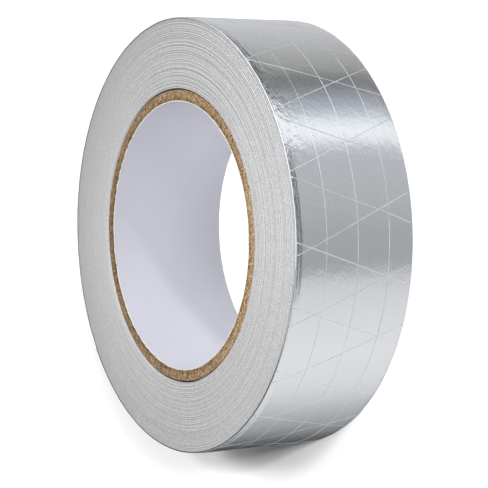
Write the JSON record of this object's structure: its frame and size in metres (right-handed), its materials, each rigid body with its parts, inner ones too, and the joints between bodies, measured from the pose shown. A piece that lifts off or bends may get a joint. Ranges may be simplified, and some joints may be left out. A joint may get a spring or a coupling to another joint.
{
  "type": "roll of foil insulation tape",
  "caption": "Roll of yarn-reinforced aluminium foil tape wound on a white-lined kraft board core, standing on one end face.",
  "frame": {"origin": "centre of the lower end face of the roll, on the axis of the core", "axes": "+Z along the axis of the roll, from the end face it stands on to the other one; the cut end of the last turn lies 125 degrees from +X towards +Y"},
  "size_m": [0.1253, 0.1251, 0.038],
  "materials": {
    "foil_tape": "rolled foil, satin bright",
    "kraft_board": "matte, cut fibre ends",
    "white_paper": "smooth matte"
  },
  "bodies": {
    "root": {"tape_winding": "foil_tape", "core_tube": "kraft_board", "core_lining": "white_paper"}
  },
  "joints": []
}
